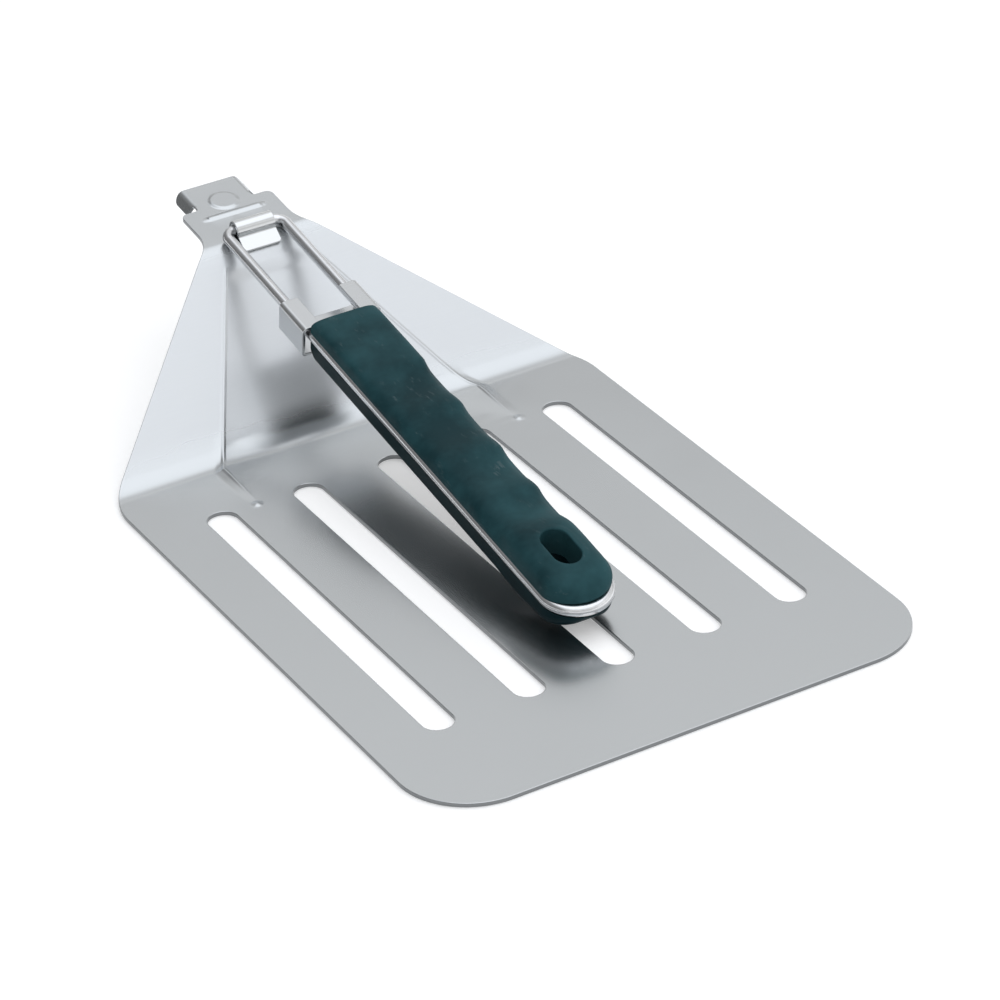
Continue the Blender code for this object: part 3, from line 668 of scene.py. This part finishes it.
def make_collar(finish):
    strip = Strip(collar_path(), COLLAR_SHEET)
    half = (COLLAR_END - COLLAR_START) / 2
    bm = strip_plate(strip, half, corner=0.6 * MM, edge=STRIP_EDGE)

    def place(x, s, depth):
        point = strip.point(s, depth)
        return handle_point(point.x, (COLLAR_START + COLLAR_END) / 2 + x, point.y)

    return finish_object("collar_sheet", place_plate(bm, place), finish,
                         "collar", "lock_collar")


def wire_path():
    """The bail's centreline, (x, u): its two ends meet inside the strap."""
    gap = 0.5 * MM
    half = [(gap, 0)]
    for k in range(17):
        angle = math.pi / 2 * k / 16
        half.append((WIRE_SPREAD - WIRE_ELBOW + WIRE_ELBOW * math.sin(angle),
                     WIRE_ELBOW * (1 - math.cos(angle))))
    half += [(WIRE_SPREAD, u) for u in steps(WIRE_ELBOW, LOOP_CENTRE, 24)[1:-1]]
    for k in range(33):
        angle = math.pi / 2 * k / 32
        half.append((WIRE_SPREAD * math.cos(angle), LOOP_CENTRE + WIRE_SPREAD * math.sin(angle)))
    return half[:-1] + [(0, WIRE_LENGTH)] + [(-x, u) for x, u in reversed(half[:-1])]


def make_wire(finish):
    sides = 40
    path = wire_path()
    bm = bmesh.new()
    rings = []
    for i, (x, u) in enumerate(path):
        here = Vector((x, u))
        back = here - Vector(path[max(i - 1, 0)])
        ahead = Vector(path[min(i + 1, len(path) - 1)]) - here
        along = (back.normalized() + ahead.normalized()).normalized()
        across = Vector((along.y, -along.x))
        ring = []
        for k in range(sides):
            angle = 2 * math.pi * (k + 0.5) / sides
            out = here + across * WIRE_RADIUS * math.cos(angle)
            ring.append(bm.verts.new(handle_point(out.x, out.y, WIRE_RADIUS * math.sin(angle))))
        rings.append(ring)
    for a, b in zip(rings, rings[1:]):
        bridge(bm, a, b)
    bm.faces.new(rings[0])
    bm.faces.new(rings[-1][::-1])
    return finish_object("bail_wire", bm, finish, "handle", "wire_bail")


# ---------------------------------------------------------------- the grip's two halves
# places are millimetres along the legs from the hinge; each pair is (place, value)
TOP_HEIGHT = [(63.9, 6.6), (70, 7.2), (92, 7.7), (150, 7.9), (176, 8.2), (200, 10.4),
              (209, 10.2), (226, 8.0)]                               # millimetres above the wires' plane
BOTTOM_DEPTH = [(63.9, 7.6), (67, 9.4), (184, 9.4), (204, 10.9), (212, 10.6), (226, 6.8)]  # below it
CORE_CORNER = [(190, 3.2), (215, 6.0)]                               # radius of the core's lower edges
COVER_SQUARENESS = [(64, 4.6), (97, 4.0), (120, 3.0), (210, 2.8)]    # exponent of the section's curve
WAVE_CRESTS = (97.5, 123.0, 148.5, 171.5, 194.5)                     # between the finger hollows

HOLLOW_DROP = 1.4 * MM           # the finger hollows are this much lower than the crests
HOLLOW_INSET = 1.5 * MM          # and this much narrower, each side
HOLLOW_TOP = 5.4 * MM            # the narrowing fades out from here down to the rim
COVER_LEAST = 2.75 * MM          # the cover's least height, where its ends are rounded off
COVER_LEVEL = 1 * MM             # its tail starts to fall this far past the loop's centre
CORE_HALF = 12.3 * MM
COVER_FRONT = 1.6 * MM           # rounding of the front edges: the cover's top,
CORE_FRONT = 1.2 * MM            # the core's underside,
SIDE_FRONT = 0.8 * MM            # and the sides of both


def wave(u):
    """0 in a finger hollow and 1 on a crest; a hollow is steeper on its front side."""
    at = u / MM
    if at <= WAVE_CRESTS[0] or at >= WAVE_CRESTS[-1]:
        return 1.0
    for a, b in zip(WAVE_CRESTS, WAVE_CRESTS[1:]):
        if at <= b:
            share = ((at - a) / (b - a)) ** 0.8
            return (0.5 + 0.5 * math.cos(2 * math.pi * share)) ** 1.3
    return 1.0


def front_round(u, radius):
    """How much the front edge's rounding takes off, at u."""
    inside = min(1.0, (u - GRIP_START) / radius)
    return radius * (1 - math.sqrt(max(0.0, 1 - (1 - inside) ** 2)))


def tail_taper(u, tail):
    """Share of the full width left towards the rounded end; tail is the end's length."""
    past = max(0.0, u - LOOP_CENTRE) / tail
    return math.sqrt(max(0.0, 1 - past**2))


def hole_distance(x, u):
    """Distance outside the hanging hole's edge."""
    straight = HOLE_LENGTH / 2 - HOLE_WIDTH / 2
    along = max(0.0, abs(u - HOLE_AT) - straight)
    return math.hypot(x, along) - HOLE_WIDTH / 2


def groove(x, u):
    """Height of the wire's groove above the wires' plane."""
    if u > LOOP_CENTRE:
        away = abs(math.hypot(x, u - LOOP_CENTRE) - WIRE_SPREAD)
    else:
        away = abs(abs(x) - WIRE_SPREAD)
    return max(PARTING_GAP, math.sqrt(max(0.0, GROOVE_RADIUS**2 - away**2)))


def cover_height(u):
    high = interpolate(TOP_HEIGHT, u / MM) * MM - HOLLOW_DROP * (1 - wave(u))
    past = max(0.0, u - LOOP_CENTRE - COVER_LEVEL) / (COVER_TAIL - COVER_LEVEL)
    high *= math.sqrt(max(0.0, 1 - past**3))
    return max(COVER_LEAST, high - front_round(u, COVER_FRONT))


def cover_section(u):
    """Half of the cover's section, (x, n), from the middle out to its rim."""
    high = cover_height(u)
    taper = tail_taper(u, COVER_TAIL)
    rim = (RIM_HALF - front_round(u, SIDE_FRONT)) * taper
    width = rim - HOLLOW_INSET * (1 - wave(u)) * taper
    low = groove(rim, u) + 0.3 * MM
    power = 2 / interpolate(COVER_SQUARENESS, u / MM)
    points = []
    count = 44
    for k in range(count + 1):
        angle = math.pi / 2 * (1 - k / count)
        x = width * math.cos(angle) ** power if k else 0.0
        n = low + (high - low) * math.sin(angle) ** power if k < count else low
        x += (rim - width) * smoothstep(HOLLOW_TOP, low + 0.2 * MM, n)
        points.append(Vector((x, n)))
    return points


def core_section(u):
    """Half of the lower body's section, (x, n): a plain trough with rounded lower edges."""
    past = max(0.0, u - LOOP_CENTRE) / CORE_TAIL
    deep = interpolate(BOTTOM_DEPTH, u / MM) * MM * math.sqrt(max(0.03, 1 - past**4))
    deep -= front_round(u, CORE_FRONT)
    width = (CORE_HALF - front_round(u, SIDE_FRONT)) * tail_taper(u, CORE_TAIL)
    rim = groove(width, u) + 0.25 * MM
    deep = max(deep, rim + 0.3 * MM)
    radius = interpolate(CORE_CORNER, u / MM) * MM
    radius = min(radius, 0.45 * width, 0.9 * (deep - rim))
    points = [Vector((0, -deep))]
    for k in range(17):
        angle = math.pi / 2 * (1 - k / 16)
        points.append(Vector((width - radius + radius * math.cos(angle),
                              -deep + radius - radius * math.sin(angle))))
    points.append(Vector((width, -rim)))
    return points


def along_section(points, a):
    """A point of a half section: its true x for the flat part, then by share of what is left."""
    limit = min(GRIP_FLAT, 0.5 * points[-1].x)
    total = 0.0
    lengths = []
    start = None
    for p, q in zip(points, points[1:]):
        if start is None and q.x >= limit:
            share = (limit - p.x) / max(1e-9, q.x - p.x)
            start = total + share * (q - p).length
        lengths.append((total, (q - p).length, p, q))
        total += (q - p).length
    if abs(a) <= GRIP_FLAT:
        x = limit * abs(a) / GRIP_FLAT
        for _, _, p, q in lengths:
            if q.x >= x:
                share = (x - p.x) / max(1e-9, q.x - p.x)
                return p.lerp(q, share)
    at = start + (total - start) * (abs(a) - GRIP_FLAT) / (GRIP_SPAN - GRIP_FLAT)
    for begin, length, p, q in lengths:
        if at <= begin + length + 1e-9:
            return p.lerp(q, min(1.0, (at - begin) / max(1e-9, length)))
    return points[-1].copy()


def grip_blank(end):
    """The grip's unrolled outline with the hanging hole: outer face at z = 0, inner face far below."""
    outline = [(-GRIP_SPAN, GRIP_START), (GRIP_SPAN, GRIP_START), (GRIP_SPAN, end), (-GRIP_SPAN, end)]
    hole = stadium(0, HOLE_AT - HOLE_LENGTH / 2, HOLE_AT + HOLE_LENGTH / 2, HOLE_WIDTH, 28)[::-1]
    profile = [(HOLE_FILLET * (1 - math.sin(angle)), HOLE_FILLET * (1 - math.cos(angle)))
               for angle in steps(0, math.pi / 2, 6)]
    bm = bmesh.new()
    rings = edge_rings(bm, hole, profile + [(0.0, BLANK_DEPTH)])
    top = [bm.verts.new((x, u, 0)) for x, u in outline]
    low = [bm.verts.new((x, u, -BLANK_DEPTH)) for x, u in outline]
    bridge(bm, top, low)
    for corners, ring in ((top, rings[0]), (low, rings[-1])):
        fill(bm, ring_edges(bm, corners) + ring_edges(bm, ring))
    return bm


def cut_grip(bm, end):
    """Even stations along the grip, closer at its rounded front and tail, and lines along it."""
    quarter = math.pi / 2
    fronts = [GRIP_START + COVER_FRONT * (1 - math.cos(quarter * k / 10)) for k in range(1, 11)]
    middles = steps(GRIP_START + 2.2 * MM, LOOP_CENTRE - 0.8 * MM, 170)
    tails = [LOOP_CENTRE + (end - LOOP_CENTRE) * math.sin(quarter * k / 22) for k in range(22)]
    cut_across(bm, fronts + middles + tails)
    cut_along(bm, [part * GRIP_SPAN / 44 for part in range(-43, 44)])
    bmesh.ops.triangulate(bm, faces=bm.faces)


def make_grip_half(name, section, tail, side, relief, finish, node):
    """Shape one half: side is +1 for the cover, above the wires, and -1 for the core below."""
    end = LOOP_CENTRE + tail * BLANK_TAIL
    bm = grip_blank(end)
    cut_grip(bm, end)
    sections = {}
    for v in bm.verts:
        a, u, z = v.co
        key = round(u * 1e7)
        if key not in sections:
            sections[key] = section(u)
        outer = along_section(sections[key], a)
        x = math.copysign(outer.x, a)
        if z < -0.5 * BLANK_DEPTH:
            n = side * groove(outer.x, u)
        else:
            n = outer.y + side * (relief(x, u) + z)
        v.co = handle_point(x, u, n)
    return finish_object(name, bm, finish, "handle", node)


def cover_relief(x, u):
    """A faint raised lip round the hanging hole."""
    away = hole_distance(x, u)
    return 0.15 * MM * smoothstep(2.6 * MM, 1.0 * MM, away)


def no_relief(x, u):
    return 0.0


# ---------------------------------------------------------------- material tools
def new_material(name):
    made = bpy.data.materials.new(name)
    made.use_nodes = True
    return made, made.node_tree.nodes["Principled BSDF"]


def node(made, kind, **settings):
    found = made.node_tree.nodes.new(kind)
    for key, value in settings.items():
        setattr(found, key, value)
    return found


def wire_up(made, source, target):
    made.node_tree.links.new(source, target)


def place_coords(made, stretch, turn=(0, 0, 0)):
    """Object coordinates, turned and stretched."""
    coords = node(made, "ShaderNodeTexCoord")
    mapping = node(made, "ShaderNodeMapping")
    mapping.inputs["Rotation"].default_value = turn
    mapping.inputs["Scale"].default_value = stretch
    wire_up(made, coords.outputs["Object"], mapping.inputs["Vector"])
    return mapping.outputs["Vector"]


def noise(made, coords, scale, detail=3.0, roughness=0.55, distortion=0.0):
    found = node(made, "ShaderNodeTexNoise")
    found.inputs["Scale"].default_value = scale
    found.inputs["Detail"].default_value = detail
    found.inputs["Roughness"].default_value = roughness
    found.inputs["Distortion"].default_value = distortion
    wire_up(made, coords, found.inputs["Vector"])
    return found.outputs["Fac"]


def grey(value):
    return (value, value, value)


def ramp(made, factor, stops, level=1.0):
    """A colour ramp; each stop is (place, colour), and the colours are divided by level."""
    found = node(made, "ShaderNodeValToRGB")
    elements = found.color_ramp.elements
    while len(elements) < len(stops):
        elements.new(0.5)
    for element, (place, colour) in zip(elements, stops):
        element.position = place
        element.color = (*[channel / level for channel in colour], 1)
    wire_up(made, factor, found.inputs["Fac"])
    return found.outputs["Color"]


def span(made, factor, low, high, from_low=0.3, from_high=0.7):
    """Map a texture's middle range onto low to high."""
    found = node(made, "ShaderNodeMapRange")
    found.inputs["From Min"].default_value = from_low
    found.inputs["From Max"].default_value = from_high
    found.inputs["To Min"].default_value = low
    found.inputs["To Max"].default_value = high
    wire_up(made, factor, found.inputs["Value"])
    return found.outputs["Result"]


def math_node(made, operation, first, second):
    found = node(made, "ShaderNodeMath", operation=operation)
    for socket, value in zip(found.inputs, (first, second)):
        if isinstance(value, (int, float)):
            socket.default_value = value
        else:
            wire_up(made, value, socket)
    return found.outputs["Value"]


def mix_colour(made, factor, first, second, blend="MIX"):
    found = node(made, "ShaderNodeMix", data_type="RGBA", blend_type=blend)
    colours = [socket for socket in found.inputs if socket.type == "RGBA"]
    for socket, value in zip([found.inputs[0]] + colours, (factor, first, second)):
        if isinstance(value, tuple):
            socket.default_value = (*value, 1)
        elif isinstance(value, float):
            socket.default_value = value
        else:
            wire_up(made, value, socket)
    return next(socket for socket in found.outputs if socket.type == "RGBA")


def upright(made, shade):
    """White on faces that look up or down, and the shade on upright ones."""
    coords = node(made, "ShaderNodeTexCoord")
    split = node(made, "ShaderNodeSeparateXYZ")
    wire_up(made, coords.outputs["Normal"], split.inputs["Vector"])
    facing = math_node(made, "ABSOLUTE", split.outputs["Z"], 0.0)
    return ramp(made, facing, [(0.3, grey(shade)), (0.6, grey(1.0))])


def bump(made, shader, height, strength, distance):
    found = node(made, "ShaderNodeBump")
    found.inputs["Strength"].default_value = strength
    found.inputs["Distance"].default_value = distance
    wire_up(made, height, found.inputs["Height"])
    wire_up(made, found.outputs["Normal"], shader.inputs["Normal"])


# ---------------------------------------------------------------- the materials
def satin_between(made, shader, colour, gloss, low, high):
    """The sheet turns from glossy to satin between two heights, and stays as bright."""
    coords = node(made, "ShaderNodeTexCoord")
    split = node(made, "ShaderNodeSeparateXYZ")
    wire_up(made, coords.outputs["Object"], split.inputs["Vector"])
    above = span(made, split.outputs["Z"], 0.0, 1.0, low, low + SATIN_BLEND)
    below = span(made, split.outputs["Z"], 1.0, 0.0, high, high + SATIN_BLEND)
    satin = math_node(made, "MULTIPLY", above, below)
    paler = mix_colour(made, satin, colour, SATIN_TINT, "MULTIPLY")
    wire_up(made, paler, shader.inputs["Base Color"])
    wire_up(made, span(made, satin, 1.0, SATIN_METALLIC, 0, 1), shader.inputs["Metallic"])
    rougher = math_node(made, "ADD", gloss, span(made, satin, 0.0, SATIN_ROUGHER, 0, 1))
    wire_up(made, rougher, shader.inputs["Roughness"])


def sheet_steel(name, colour, roughness, grain_turn=0.0, painted_shade_on_edges=1.0, satin=None):
    """Cold-rolled stainless sheet: fine hairlines one way, soft mottling, and painted shade that darkens
    its upright cut edges.
    """
    made, shader = new_material(name)
    shader.inputs["Metallic"].default_value = 1.0
    lines = noise(made, place_coords(made, (1, 40, 1), (0, 0, grain_turn)), 90, 4, 0.7)
    cloud = noise(made, place_coords(made, (1, 1, 1)), 22, 3, 0.5)
    mottled = ramp(made, cloud, [(0.3, tuple(0.97 * c for c in colour)), (0.7, colour)])
    streaks = ramp(made, lines, [(0.3, grey(1 - HAIRLINE)), (0.7, grey(1.0))])
    brushed = mix_colour(made, 1.0, mottled, streaks, "MULTIPLY")
    # painted shade: upright faces, the sheet's cut edges, get a darker base colour
    edges = upright(made, painted_shade_on_edges)
    shaded = mix_colour(made, 1.0, brushed, edges, "MULTIPLY")
    wire_up(made, shaded, shader.inputs["Base Color"])
    gloss = span(made, cloud, roughness - 0.015, roughness + 0.025)
    wire_up(made, gloss, shader.inputs["Roughness"])
    if satin is not None:
        satin_between(made, shader, shaded, gloss, *satin)
    bump(made, shader, lines, HAIRLINE, 0.01 * MM)
    return made


def chrome(name):
    """Bright plated wire with faint drawing lines."""
    made, shader = new_material(name)
    shader.inputs["Metallic"].default_value = 1.0
    coords = place_coords(made, (30, 1, 30), (FOLD_SLOPE, 0, 0))
    lines = noise(made, coords, 40, 3, 0.6)
    wire_up(made, ramp(made, lines, [(0.25, (0.62, 0.63, 0.645)), (0.75, (0.72, 0.73, 0.745))]),
            shader.inputs["Base Color"])
    wire_up(made, span(made, lines, 0.19, 0.27), shader.inputs["Roughness"])
    bump(made, shader, lines, 0.05, 0.02 * MM)
    return made


def rubber(name):
    """Soft-touch rubber: dark teal, finely grained, paler where it is rubbed."""
    made, shader = new_material(name)
    coords = place_coords(made, (1, 1, 1))
    cloud = noise(made, coords, 40, 4, 0.6)
    grain = noise(made, coords, 2600, 2, 0.5)
    colour = ramp(made, cloud, [(0.36, (0.008, 0.034, 0.041)), (0.66, (0.024, 0.078, 0.090))])
    scuffs = noise(made, place_coords(made, (1, 0.3, 1), (0, 0, 0.5)), 420, 4, 0.7)
    scuff_mask = ramp(made, scuffs, [(0.58, (0, 0, 0)), (0.68, (0.5, 0.5, 0.5))])
    patches = noise(made, coords, 90, 2, 0.5)
    patch_mask = ramp(made, patches, [(0.45, (0, 0, 0)), (0.65, (1, 1, 1))])
    masked = math_node(made, "MULTIPLY", scuff_mask, patch_mask)
    worn = mix_colour(made, masked, colour, (0.09, 0.13, 0.14))
    wire_up(made, worn, shader.inputs["Base Color"])
    wire_up(made, span(made, cloud, 0.46, 0.58), shader.inputs["Roughness"])
    bump(made, shader, grain, 0.25, 0.02 * MM)
    shader.inputs["Specular IOR Level"].default_value = 0.08
    return made


def plastic(name):
    """Moulded black plastic with a fine sparked texture."""
    made, shader = new_material(name)
    coords = place_coords(made, (1, 1, 1))
    cloud = noise(made, coords, 70, 3, 0.5)
    grain = noise(made, coords, 3200, 2, 0.5)
    wire_up(made, ramp(made, cloud, [(0.3, (0.002, 0.013, 0.017)), (0.7, (0.005, 0.022, 0.027))]),
            shader.inputs["Base Color"])
    wire_up(made, span(made, cloud, 0.36, 0.48), shader.inputs["Roughness"])
    bump(made, shader, grain, 0.2, 0.02 * MM)
    shader.inputs["Specular IOR Level"].default_value = 0.07
    return made


def floor_material():
    made, shader = new_material("studio_floor")
    cloud = noise(made, place_coords(made, (1, 1, 1)), 2.0, 2, 0.5)
    wire_up(made, ramp(made, cloud, [(0.3, (0.88, 0.88, 0.88)), (0.7, (0.9, 0.9, 0.9))]),
            shader.inputs["Base Color"])
    shader.inputs["Roughness"].default_value = 0.9
    shader.inputs["Specular IOR Level"].default_value = 0.0
    shader.inputs["Emission Color"].default_value = (1, 1, 1, 1)
    shader.inputs["Emission Strength"].default_value = 0.28
    return made


# ---------------------------------------------------------------- the studio
def make_floor():
    """A wide pale floor that never coincides with the blade's underside."""
    bm = bmesh.new()
    bmesh.ops.create_grid(bm, x_segments=8, y_segments=8, size=FLOOR_HALF)
    mesh = bpy.data.meshes.new("studio_floor")
    bm.to_mesh(mesh)
    bm.free()
    mesh.materials.append(floor_material())
    floor = bpy.data.objects.new("studio_floor", mesh)
    floor.location.z = -FLOOR_DROP
    bpy.context.scene.collection.objects.link(floor)


def make_world():
    """A pale studio: bright overhead, with a soft key on the right and a darker left side."""
    world = bpy.data.worlds.new("studio")
    bpy.context.scene.world = world
    world.use_nodes = True
    background = world.node_tree.nodes["Background"]
    coords = node(world, "ShaderNodeTexCoord")
    split = node(world, "ShaderNodeSeparateXYZ")
    wire_up(world, coords.outputs["Generated"], split.inputs["Vector"])
    height = ramp(world, split.outputs["Z"], [
        (0.0, grey(0.98)),
        (0.44, grey(0.58)),
        (0.50, grey(0.66)),
        (0.56, grey(1.22)),
        (0.64, grey(0.84)),
        (0.72, grey(0.72)),
        (0.82, (1.46, 1.49, 1.54)),
        (1.0, (1.52, 1.55, 1.60)),
    ], STUDIO_LEVEL)
    across = math_node(world, "ADD", math_node(world, "MULTIPLY", split.outputs["X"], STUDIO_RIGHT[0]),
                       math_node(world, "MULTIPLY", split.outputs["Y"], STUDIO_RIGHT[1]))
    side = ramp(world, span(world, across, 0, 1, -1, 1), [
        (0.0, grey(0.28)),
        (0.24, grey(0.34)),
        (0.42, grey(1.0)),
        (0.84, grey(1.0)),
        (0.94, grey(KEY_LEVEL)),
        (1.0, grey(KEY_LEVEL)),
    ], KEY_LEVEL)
    wire_up(world, mix_colour(world, 1.0, height, side, "MULTIPLY"), background.inputs["Color"])
    background.inputs["Strength"].default_value = STUDIO_LEVEL * KEY_LEVEL


def make_camera():
    """A long lens from the front left, above."""
    data = bpy.data.cameras.new("studio_camera")
    data.lens = 153.548
    data.sensor_width = 36
    data.clip_start = 0.01
    camera = bpy.data.objects.new("studio_camera", data)
    camera.location = (-0.565094, -1.059799, 0.721189)
    camera.rotation_euler = [math.radians(a) for a in (59.01683, 2.43517, -30.49174)]
    bpy.context.scene.collection.objects.link(camera)
    bpy.context.scene.camera = camera


def main():
    # the blade's upright cut edges carry painted shade, at 0.4 of the steel's colour
    blade_steel = sheet_steel("blade_steel_brushed", (0.553, 0.575, 0.590), roughness=0.24,
                              grain_turn=0.6, painted_shade_on_edges=0.4, satin=SATIN_BAND)
    strap_steel = sheet_steel("strap_steel_bright", (0.67, 0.685, 0.695), roughness=0.20)
    collar_steel = sheet_steel("collar_steel_satin", (0.58, 0.595, 0.605), roughness=0.26)
    make_blade(blade_steel)
    make_strap(strap_steel)
    make_wire(chrome("wire_chrome_plated"))
    make_collar(collar_steel)
    make_grip_half("cover_shell", cover_section, COVER_TAIL, 1, cover_relief,
                   rubber("cover_rubber_soft"), "grip_cover")
    make_grip_half("core_body", core_section, CORE_TAIL, -1, no_relief,
                   plastic("core_plastic_moulded"), "grip_core")
    make_floor()
    make_world()
    make_camera()
    bpy.context.scene.view_settings.view_transform = "Standard"


main()
